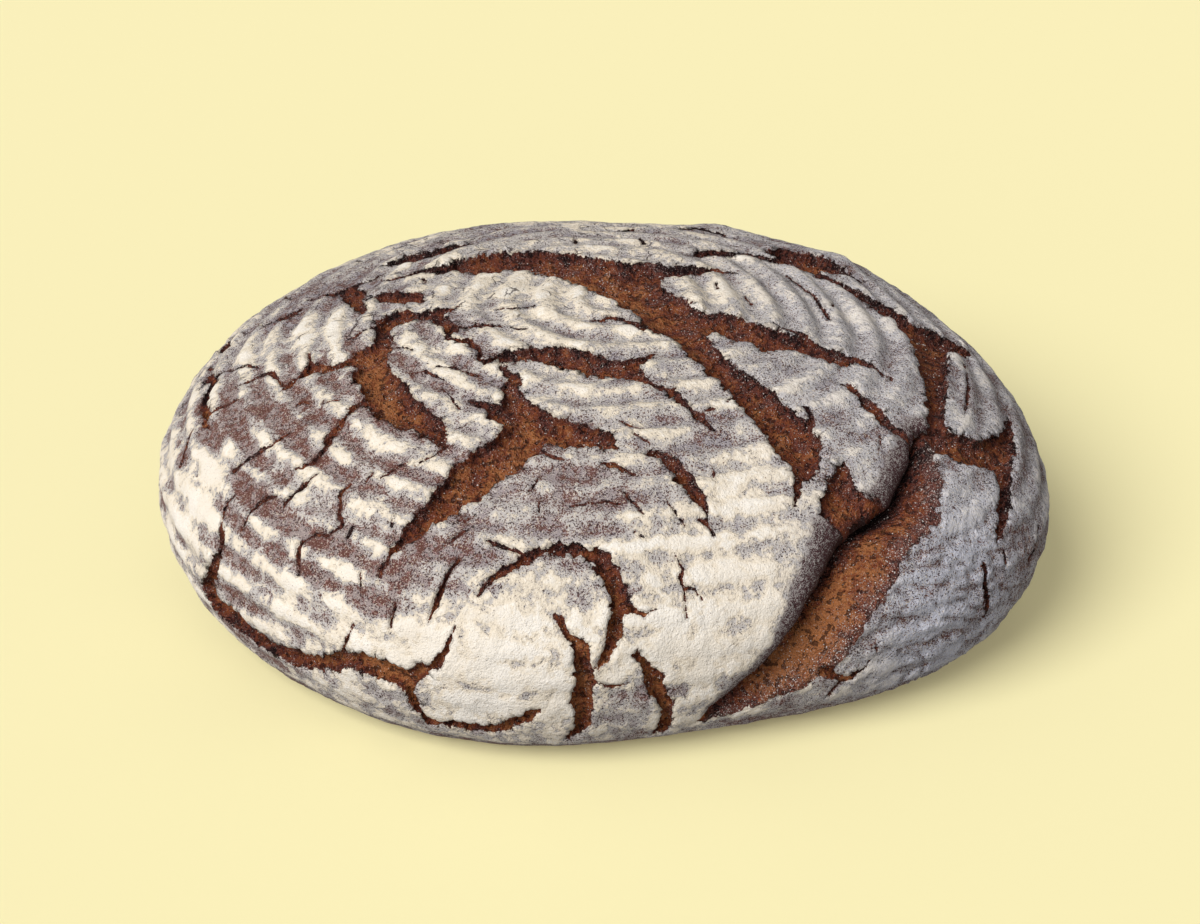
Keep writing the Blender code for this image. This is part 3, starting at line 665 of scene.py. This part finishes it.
def loaf_geometry(skin, fields):
    """Skin points raised from the smooth form along its outward direction by the relief, joined by the
    triangulation of the flat skin map, and closed below by rings drawn in to the middle of the base."""
    x, y = skin_points(skin, fields)
    turn = np.arange(RIM_POINTS) * 2 * math.pi / RIM_POINTS
    flat_x = np.concatenate((np.cos(turn) * SKIN_RADIUS, x))
    flat_y = np.concatenate((np.sin(turn) * SKIN_RADIUS, y))
    flat = np.stack((flat_x, flat_y), axis=-1)
    joined, _, faces, _, _, _ = delaunay_2d_cdt(flat.tolist(), [], [], 0, MERGE, False)
    x, y = np.array(joined).T
    triangles = np.array(faces, dtype=np.int64)
    a, b, c = triangles[:, 0], triangles[:, 1], triangles[:, 2]
    area = (x[b] - x[a]) * (y[c] - y[a]) - (x[c] - x[a]) * (y[b] - y[a])
    triangles = np.where((area < 0)[:, None], triangles[:, ::-1], triangles)
    points, _ = surface_at(skin, fields, x, y)
    points[:, 2] = np.maximum(points[:, 2], 0.0)
    points[:RIM_POINTS, 2] = 0.0

    shares = np.array(BASE_RINGS)
    rim = points[:RIM_POINTS]
    middle = np.array((-CENTRE[0], -CENTRE[1], 0.0))
    rings = middle + (rim - middle)[None] * shares[:, None, None]
    first = len(points)
    ring_numbers = first + np.arange(rings.size // 3).reshape(len(shares), -1)
    number = np.concatenate((np.arange(RIM_POINTS)[None], ring_numbers))
    following = np.roll(number, -1, axis=1)
    quads = np.stack((number[1:], following[1:], following[:-1], number[:-1]), axis=-1).reshape(-1, 4)
    below = np.concatenate((quads[:, (0, 2, 1)], quads[:, (0, 3, 2)]))
    hub = first + rings.size // 3
    fan = np.stack((number[-1], np.full(RIM_POINTS, hub), following[-1]), axis=-1)
    points = np.concatenate((points, rings.reshape(-1, 3), middle[None]))
    triangles = np.concatenate((triangles, orient_down(below, points), orient_down(fan, points)))
    base_x = shares[:, None] * x[None, :RIM_POINTS]
    base_y = shares[:, None] * y[None, :RIM_POINTS]
    flat_x = np.concatenate((x, base_x.ravel(), (0.0,)))
    flat_y = np.concatenate((y, base_y.ravel(), (0.0,)))
    return points, triangles, flat_x, flat_y, first


def orient_down(triangles, points):
    """Triangles of the base turned so that they face the table."""
    a, b, c = (points[triangles[:, n]] for n in range(3))
    up = (b - a)[:, 0] * (c - a)[:, 1] - (b - a)[:, 1] * (c - a)[:, 0]
    return np.where((up > 0)[:, None], triangles[:, ::-1], triangles)


def make_mesh(name, points, triangles):
    """Mesh object from whole arrays of points and triangles, smooth shaded."""
    mesh = bpy.data.meshes.new(name)
    mesh.vertices.add(len(points))
    mesh.vertices.foreach_set("co", points.astype(np.float32).ravel())
    mesh.loops.add(triangles.size)
    mesh.loops.foreach_set("vertex_index", triangles.astype(np.int32).ravel())
    mesh.polygons.add(len(triangles))
    mesh.polygons.foreach_set("loop_start", np.arange(0, triangles.size, 3, dtype=np.int32))
    mesh.polygons.foreach_set("use_smooth", np.ones(len(triangles), dtype=bool))
    mesh.update(calc_edges=True)
    mesh.validate()
    made = bpy.data.objects.new(name, mesh)
    bpy.context.scene.collection.objects.link(made)
    return made


def add_field(mesh, name, values):
    """Number on every vertex for the materials to read."""
    attribute = mesh.attributes.new(name, "FLOAT", "POINT")
    attribute.data.foreach_set("value", values.astype(np.float32))


# ---- materials ---------------------------------------------------------------------------------
class Term:
    """A value inside a material, written with ordinary operators."""

    def __init__(self, kit, socket):
        self.kit = kit
        self.socket = socket

    def _maths(self, operation, other, swap=False):
        values = (other, self) if swap else (self, other)
        return self.kit.node("ShaderNodeMath", {"operation": operation}, values)

    def __add__(self, other):
        return self._maths("ADD", other)

    def __radd__(self, other):
        return self._maths("ADD", other)

    def __sub__(self, other):
        return self._maths("SUBTRACT", other)

    def __rsub__(self, other):
        return self._maths("SUBTRACT", other, swap=True)

    def __mul__(self, other):
        return self._maths("MULTIPLY", other)

    def __rmul__(self, other):
        return self._maths("MULTIPLY", other)

    def least(self, other):
        return self._maths("MINIMUM", other)

    def most(self, other):
        return self._maths("MAXIMUM", other)

    def step(self, low, high):
        """0 below low, 1 above high, smooth between."""
        values = {"Value": self, "From Min": low, "From Max": high}
        return self.kit.node("ShaderNodeMapRange", {"interpolation_type": "SMOOTHSTEP"}, values)


class Kit:
    """Builds the nodes of one material."""

    def __init__(self, name):
        self.material = bpy.data.materials.new(name)
        self.material.use_nodes = True
        self.tree = self.material.node_tree
        self.shader = self.tree.nodes["Principled BSDF"]

    def node(self, kind, settings=None, values=(), output=0):
        """Add a node, set it up, fill its sockets by number or name, and give one of its outputs."""
        made = self.tree.nodes.new(kind)
        for key, value in (settings or {}).items():
            setattr(made, key, value)
        pairs = values.items() if isinstance(values, dict) else enumerate(values)
        for key, value in pairs:
            self.plug(made.inputs[key], value)
        return Term(self, made.outputs[output])

    def plug(self, socket, value):
        """Link a term to a socket, or set the socket's own value."""
        if isinstance(value, Term):
            self.tree.links.new(value.socket, socket)
        elif socket.type == "RGBA":
            socket.default_value = (*value, 1.0)
        else:
            socket.default_value = value

    def field(self, name):
        """Share or distance stored on the mesh."""
        settings = {"attribute_type": "GEOMETRY", "attribute_name": name}
        return self.node("ShaderNodeAttribute", settings, output="Fac")

    def place(self):
        """Object coordinates in millimetres."""
        spot = self.node("ShaderNodeTexCoord", output="Object")
        return self.node("ShaderNodeVectorMath", {"operation": "SCALE"}, {"Vector": spot, "Scale": 1000.0})

    def noise(self, spot, size, detail=2.0, rough=0.55, shift=0.0):
        """Noise of a size in millimetres, about 0.5 on average."""
        moved = self.node("ShaderNodeVectorMath", {"operation": "ADD"}, (spot, (shift, 0.7 * shift, -shift)))
        values = {"Vector": moved, "Scale": 1.0 / size, "Detail": detail, "Roughness": rough}
        return self.node("ShaderNodeTexNoise", {}, values)

    def swirl(self, spot, size):
        """Noise as three numbers around zero, for bending a place."""
        values = {"Vector": spot, "Scale": 1.0 / size, "Detail": 2.0}
        made = self.node("ShaderNodeTexNoise", {}, values, output=1)
        return self.node("ShaderNodeVectorMath", {"operation": "SUBTRACT"}, (made, (0.5, 0.5, 0.5)))

    def cells(self, spot, size):
        """One random value for each irregular cell of a size in millimetres."""
        return self.node("ShaderNodeTexVoronoi", {}, {"Vector": spot, "Scale": 1.0 / size}, output=1)

    def cracks(self, spot, size):
        """Distance from the border between cells, as a share of their size."""
        values = {"Vector": spot, "Scale": 1.0 / size}
        return self.node("ShaderNodeTexVoronoi", {"feature": "DISTANCE_TO_EDGE"}, values)

    def mix(self, factor, first, second):
        """Colour blend; 0 gives the first."""
        return self.node("ShaderNodeMix", {"data_type": "RGBA"}, {0: factor, 6: first, 7: second}, output=2)

    def bump(self, height, distance):
        """Normal of a rough surface whose height, 0 to 1, is worth a distance in metres."""
        return self.node("ShaderNodeBump", {}, {"Height": height, "Distance": distance, "Strength": 1.0})

    def finish(self, **values):
        """The material, with values or links on the shader's sockets."""
        for name, value in values.items():
            self.plug(self.shader.inputs[name.replace("_", " ")], value)
        return self.material


CREAM = (0.83, 0.72, 0.57)
WHITE_FLOUR = (0.93, 0.87, 0.79)
PALE_FLOUR = (0.54, 0.50, 0.475)
COOL_PALE = (0.50, 0.50, 0.56)
COOL_GREY = (0.36, 0.34, 0.37)
WARM_GREY = (0.34, 0.275, 0.262)
# dark skin of the grains and hair cracks, also painted as shade along the tears' edges
DARK_SKIN_AND_SHADE = (0.036, 0.015, 0.015)
BROWN_SKIN = (0.118, 0.047, 0.036)
FLOOR_ORANGE = (0.44, 0.165, 0.060)
FLOOR_SPECK = (0.70, 0.58, 0.53)
FLOOR_RED = (0.225, 0.058, 0.023)
FLOOR_MAROON = (0.140, 0.042, 0.030)
DUSK = (0.27, 0.145, 0.13)
SILVER_FLOUR = (0.60, 0.60, 0.67)
# darkest crumb, also used as painted shade in the pits and as painted shadow at the slab's foot
FLOOR_DARK = (0.022, 0.008, 0.008)
BASE_BROWN = (0.26, 0.15, 0.085)
# skin of the slab wall, darkened as painted shade
SHADED_WALL_SKIN = (0.075, 0.035, 0.038)
GRAIN_FLOUR = (0.70, 0.62, 0.58)
SHEEN = 0.14                         # how much the dry crust mirrors
BUMP_DEPTH = 0.0012                  # metres that a height of 1 is worth


class CrustLook:
    """Colours and bumps of the crust, all worked out from the same few noises."""

    def __init__(self):
        kit = Kit("floured_crust")
        spot = kit.place()
        self.kit, self.spot = kit, spot
        self.coarse = kit.noise(spot, 3.2, 3.0)
        self.medium = kit.noise(spot, 1.3, 3.0, 0.6, 7.0)
        self.fine = kit.noise(spot, 0.55, 2.0, 0.6, 13.0)
        self.grain = kit.noise(spot, 0.32, 1.0, 0.5, 29.0)
        self.dots = kit.noise(spot, 0.42, 1.0, 0.5, 71.0)
        self.pits = kit.noise(spot, 1.9, 2.0, 0.5, 41.0).step(0.44, 0.36)
        bend = (kit.swirl(spot, 5.0), (5.0, 5.0, 5.0), spot)
        self.bent = kit.node("ShaderNodeVectorMath", {"operation": "MULTIPLY_ADD"}, bend)

    def plates(self):
        """Colour of the plates, from bare skin through thin flour to white, and the share of thick flour."""
        kit, coarse, medium = self.kit, self.coarse, self.medium
        mottle, cool = kit.field("mottle"), kit.field("cool")
        patch = kit.cells(self.bent, 6.5) * 0.6 + kit.cells(self.bent, 3.2) * 0.4
        cover = kit.field("flour") + (coarse - 0.5) * 0.70 + (medium - 0.5) * 0.45
        cover = cover + (patch - 0.5) * (mottle * 0.46 + 0.06)
        cover = (cover - 0.5) * (mottle * 0.35 + 1.0) + 0.5
        thick = cover.step(0.45, 0.68)
        bare = kit.mix((coarse * 0.5 + medium * 0.5).step(0.46, 0.56), WARM_GREY, DUSK)
        thin = kit.mix(cool, PALE_FLOUR, COOL_PALE)
        colour = kit.mix(cover.step(0.15, 0.44), kit.mix(mottle, COOL_GREY, bare), thin)
        colour = kit.mix(thick, colour, kit.mix(cool, CREAM, SILVER_FLOUR))
        warmth = kit.noise(self.spot, 18.0, 3.0, 0.5, 55.0).step(0.38, 0.62) * 0.6 + mottle * 0.6
        whitest = cover.step(0.62, 0.92) * (1.15 - warmth * 0.60).least(1.0) * (1.0 - cool * 0.7)
        colour = kit.mix(whitest, colour, WHITE_FLOUR)
        skin_tone = kit.mix(coarse.step(0.42, 0.58), DARK_SKIN_AND_SHADE, BROWN_SKIN)
        scarce = (0.5 - cover).most(-0.25).least((coarse - 0.5) * 1.6 + 0.25)
        pepper = (self.fine * 0.65 + self.grain * 0.35 + scarce * 0.34).step(0.558, 0.592)
        colour = kit.mix(pepper * 0.95, colour, skin_tone)
        dusted = (self.dots + (cover - 0.4) * 0.05).step(0.60, 0.66)
        return kit.mix(dusted * 0.55, colour, CREAM), thick

    def slab_wall(self, colour):
        """Dark skin with white specks over the wall of the slab, darkened as painted shade, with fewer specks
        and painted black towards its foot as a shadow.
        """
        kit = self.kit
        wall = kit.field("wall")
        dust = (self.grain * 0.6 + self.medium * 0.4 + (0.6 - wall) * 0.16).step(0.53, 0.57)
        on_wall = kit.mix(dust * 0.70, SHADED_WALL_SKIN, PALE_FLOUR)
        # painted shadow: near black towards the wall's foot
        on_wall = kit.mix(wall.step(0.70, 1.0) * 0.9, on_wall, FLOOR_DARK)
        return kit.mix((wall + (self.coarse - 0.5) * 0.45).step(0.10, 0.34), colour, on_wall)

    def torn_floor(self):
        """Colour of the torn crumb, black to orange by its baked tone and painted shade, with painted shade
        in its pits, dusted, and its specks.
        """
        kit, fine = self.kit, self.fine
        speck = kit.field("speck")
        tone = kit.field("bake_and_shade") + (self.medium - 0.5) * 1.4 + (self.coarse - 0.5) * 0.9 + (fine - 0.5) * 0.8
        floor = kit.mix(tone.step(-0.25, 0.05), FLOOR_DARK, FLOOR_MAROON)
        floor = kit.mix(tone.step(0.05, 0.38), floor, FLOOR_RED)
        floor = kit.mix(tone.step(0.31, 0.82), floor, FLOOR_ORANGE)
        # painted shade in the crumb's pits
        floor = kit.mix(self.pits * 0.70, floor, FLOOR_DARK)
        dusting = (self.grain * 0.4 + fine * 0.6 + (speck - 0.5) * 0.22).step(0.56, 0.62)
        floor = kit.mix(dusting * 0.30, floor, DUSK)
        specks = (self.dots + (speck - 0.5) * 0.10).step(0.662, 0.70)
        return kit.mix(specks * 0.65, floor, FLOOR_SPECK), specks

    def fissures(self):
        """Hair cracks between cells, in patches of the dry crust at the back and left of the crown."""
        kit = self.kit
        patchy = kit.noise(self.spot, 6.0, 1.0, 0.5, 63.0).step(0.55, 0.62)
        return kit.cracks(self.bent, 9.0).step(0.022, 0.010) * patchy * kit.field("dry")


def crust_material():
    """Flour over baked skin on the plates; torn crumb, dark at the rims and specked, in the tears."""
    look = CrustLook()
    kit, coarse, medium, fine = look.kit, look.coarse, look.medium, look.fine
    colour, thick = look.plates()
    colour = look.slab_wall(colour)
    floor, specks = look.torn_floor()
    edge = kit.field("tear") + (medium - 0.5) * 1.1 + (fine - 0.5) * 0.7
    torn = edge.step(0.10, -0.10)
    rim = edge.step(0.10, 0.30) * edge.step(0.75, 0.35)
    # painted shade: a dark band on the plate along each tear's edge
    colour = kit.mix(rim * 0.45 * coarse.step(0.42, 0.56), colour, DARK_SKIN_AND_SHADE)
    colour = kit.mix(torn, colour, floor)
    scorched = kit.noise(look.spot, 16.0, 4.0, 0.6, 83.0).step(0.36, 0.56) * 0.5 + 0.5
    colour = kit.mix(kit.field("low") * scorched, colour, BASE_BROWN)
    fissure = look.fissures()
    colour = kit.mix(fissure * (1.0 - torn) * 0.75, colour, DARK_SKIN_AND_SHADE)

    pocked = (medium - 0.5) * 2.4 + (fine - 0.5) * 1.0 - look.pits * 1.2
    caked = thick * 0.14 + (fine - 0.5) * 0.28 + (medium - 0.5) * 0.40 + (coarse - 0.5) * 0.35 - fissure * 0.5
    bump = kit.bump(torn * pocked + (1.0 - torn) * caked, BUMP_DEPTH)
    rough = 0.90 - torn * (1.0 - specks) * 0.28
    return kit.finish(Base_Color=colour, Roughness=rough, Normal=bump, Specular_IOR_Level=SHEEN)


def grain_material():
    """Rye flour in loose specks."""
    return Kit("flour_specks").finish(Base_Color=GRAIN_FLOUR, Roughness=0.95, Specular_IOR_Level=SHEEN)


# ---- loose flour -------------------------------------------------------------------------------
def flour_specks(skin, fields):
    """Eight-sided grains lying on the torn floors, thickest where the speck field is high."""
    random = np.random.default_rng(SEED + 300)
    x = random.uniform(-160, 160, SPECK_TRIES)
    y = random.uniform(-195, 110, SPECK_TRIES)
    tear = skin.sample(fields["tear"], x, y)
    speck = skin.sample(fields["speck"], x, y)
    want = np.where(tear < -0.5, np.clip((speck - 0.38) * 0.42, 0, 1), 0.0)
    chosen = random.uniform(0, 1, SPECK_TRIES) < want
    chosen &= np.hypot(x, y) < SKIN_RADIUS - 6
    centre, normal = surface_at(skin, fields, x[chosen], y[chosen])
    count = len(centre)
    size = random.uniform(*SPECK_SIZES, count) / 1000
    corners = np.array(((1, 0, 0), (-1, 0, 0), (0, 1, 0), (0, -1, 0), (0, 0, 1), (0, 0, -1)), float)
    faces = np.array(((0, 2, 4), (2, 1, 4), (1, 3, 4), (3, 0, 4), (2, 0, 5), (1, 2, 5), (3, 1, 5), (0, 3, 5)))
    spin, _ = np.linalg.qr(random.normal(size=(count, 3, 3)))
    spin *= np.sign(np.linalg.det(spin))[:, None, None]
    stretch = random.uniform(*SPECK_STRETCH, (count, 6, 1))
    shape = np.einsum("nij,kj->nki", spin, corners) * stretch * size[:, None, None]
    points = (centre + normal * (size * 0.3)[:, None])[:, None, :] + shape
    triangles = (np.arange(count)[:, None, None] * 6 + faces[None]).reshape(-1, 3)
    return make_mesh("flour_specks", points.reshape(-1, 3), triangles)


# ---- build -------------------------------------------------------------------------------------
# fields the crust material reads, with the value each has on the flat base
BASE_LOOK = {
    "tear": 8.0, "flour": 0.42, "bake_and_shade": 0.0, "wall": 0.0, "speck": 0.0, "mottle": 0.5, "dry": 0.0,
    "cool": 0.0}
skin = SkinMap()
fields = crust_fields(skin)
points, triangles, flat_x, flat_y, base_from = loaf_geometry(skin, fields)
loaf = make_mesh("rye_loaf", points, triangles)
for name, on_base in BASE_LOOK.items():
    values = skin.sample(fields[name], flat_x, flat_y)
    values[base_from:] = on_base
    add_field(loaf.data, name, values)
low = np.clip((np.hypot(flat_x, flat_y) - (SKIN_RADIUS - 9)) / 8, 0, 1)
low[base_from:] = 1.0
add_field(loaf.data, "low", low * 0.8)
loaf.data.materials.append(crust_material())

specks = flour_specks(skin, fields)
specks.data.materials.append(grain_material())

for piece in (loaf, specks):
    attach(piece, "root")
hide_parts("loaf")


# ---- stage -------------------------------------------------------------------------------------
FLOOR_HALF = 4.0
FLOOR_PAINT = (0.86, 0.785, 0.449)
FLOOR_GLOW = (0.965, 0.879, 0.503)
GLOW_STRENGTH = 0.155
ROOM_COLOUR = (1.0, 0.99, 0.97, 1.0)
ROOM_STRENGTH = 0.28
SUNS = (                             # name, azimuth, elevation, strength, spread in degrees
    ("key", 224, 44, 2.75, 38), ("front", 250, 22, 0.45, 50))
LENS, SENSOR = 70, 36
LENS_SHIFT = (0.0012, -0.0243)
TARGET_HEIGHT = 0.045
LOOK_DOWN = 30                       # degrees
CAMERA_DISTANCE = 0.782


def lay_floor():
    """Pale matt floor that glows faintly, so that the loaf's shadow on it stays light."""
    mesh = bpy.data.meshes.new("floor")
    half = FLOOR_HALF
    corners = [(-half, -half, 0), (half, -half, 0), (half, half, 0), (-half, half, 0)]
    mesh.from_pydata(corners, [], [(0, 1, 2, 3)])
    floor = bpy.data.objects.new("floor", mesh)
    bpy.context.scene.collection.objects.link(floor)
    mesh.materials.append(Kit("pale_floor").finish(
        Base_Color=FLOOR_PAINT, Roughness=0.95, Specular_IOR_Level=0.0,
        Emission_Color=FLOOR_GLOW, Emission_Strength=GLOW_STRENGTH))
    floor.visible_diffuse = False


def add_sun(name, azimuth, elevation, strength, spread):
    """Soft light from a direction, in degrees: azimuth from +X towards +Y, elevation above the floor."""
    light = bpy.data.lights.new(name, "SUN")
    light.energy = strength
    light.angle = math.radians(spread)
    lamp = bpy.data.objects.new(name, light)
    turn, rise = math.radians(azimuth), math.radians(elevation)
    towards = Vector((math.cos(turn) * math.cos(rise), math.sin(turn) * math.cos(rise), math.sin(rise)))
    lamp.rotation_euler = towards.to_track_quat("Z", "Y").to_euler()
    bpy.context.scene.collection.objects.link(lamp)


def light_room():
    world = bpy.data.worlds.new("room")
    world.use_nodes = True
    sky = world.node_tree.nodes["Background"]
    sky.inputs["Color"].default_value = ROOM_COLOUR
    sky.inputs["Strength"].default_value = ROOM_STRENGTH
    bpy.context.scene.world = world
    for sun in SUNS:
        add_sun(*sun)


def place_camera():
    camera = bpy.data.cameras.new("camera")
    camera.lens = LENS
    camera.sensor_width = SENSOR
    camera.clip_start = 0.02
    camera.shift_x, camera.shift_y = LENS_SHIFT
    holder = bpy.data.objects.new("camera", camera)
    target = Vector((-CENTRE[0], -CENTRE[1], TARGET_HEIGHT))
    down = math.radians(LOOK_DOWN)
    holder.location = target + Vector((0.0, -math.cos(down), math.sin(down))) * CAMERA_DISTANCE
    holder.rotation_euler = (target - holder.location).to_track_quat("-Z", "Y").to_euler()
    bpy.context.scene.collection.objects.link(holder)
    bpy.context.scene.camera = holder


lay_floor()
light_room()
place_camera()
bpy.context.scene.view_settings.view_transform = "Standard"
